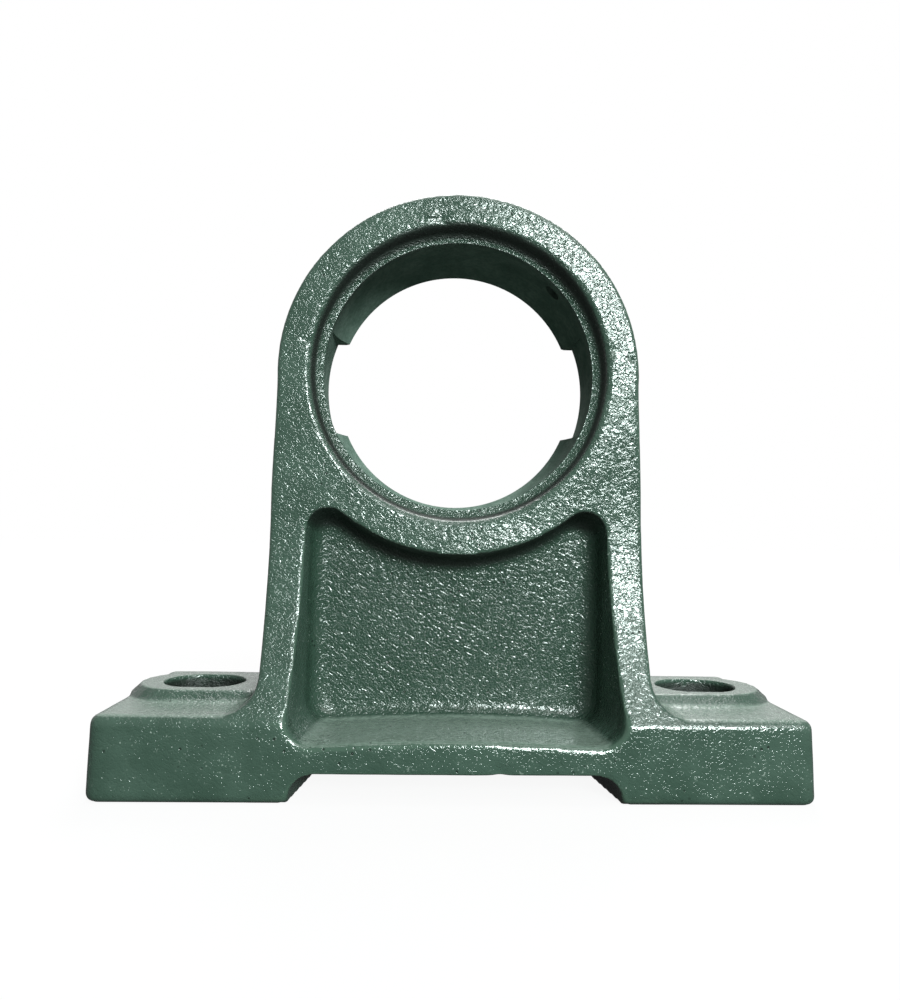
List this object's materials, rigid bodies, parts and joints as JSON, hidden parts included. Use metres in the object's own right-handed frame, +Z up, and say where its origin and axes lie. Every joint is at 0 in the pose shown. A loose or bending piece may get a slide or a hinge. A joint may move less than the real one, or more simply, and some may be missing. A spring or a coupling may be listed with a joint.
{
  "type": "bearing housing",
  "caption": "High-centre pillow block housing: cast ring with a spherical seat on two ribbed legs over a slotted foot, with a closed lubrication port.",
  "frame": {"origin": "middle of the machined base, on the floor, below the bore's centre", "axes": "+X along the foot, towards the side with the lubrication hole; +Y through the bore towards the rear, the side the bearing goes in from; +Z up"},
  "size_m": [0.168, 0.06, 0.1476],
  "materials": {
    "painted_casting": "glossy green enamel over a coarse cast surface; seat, base and entry slots bare machined iron",
    "plug_steel": "black oxide"
  },
  "bodies": {
    "root": {"housing_casting": "painted_casting", "lubrication_plug": "plug_steel"}
  },
  "joints": []
}
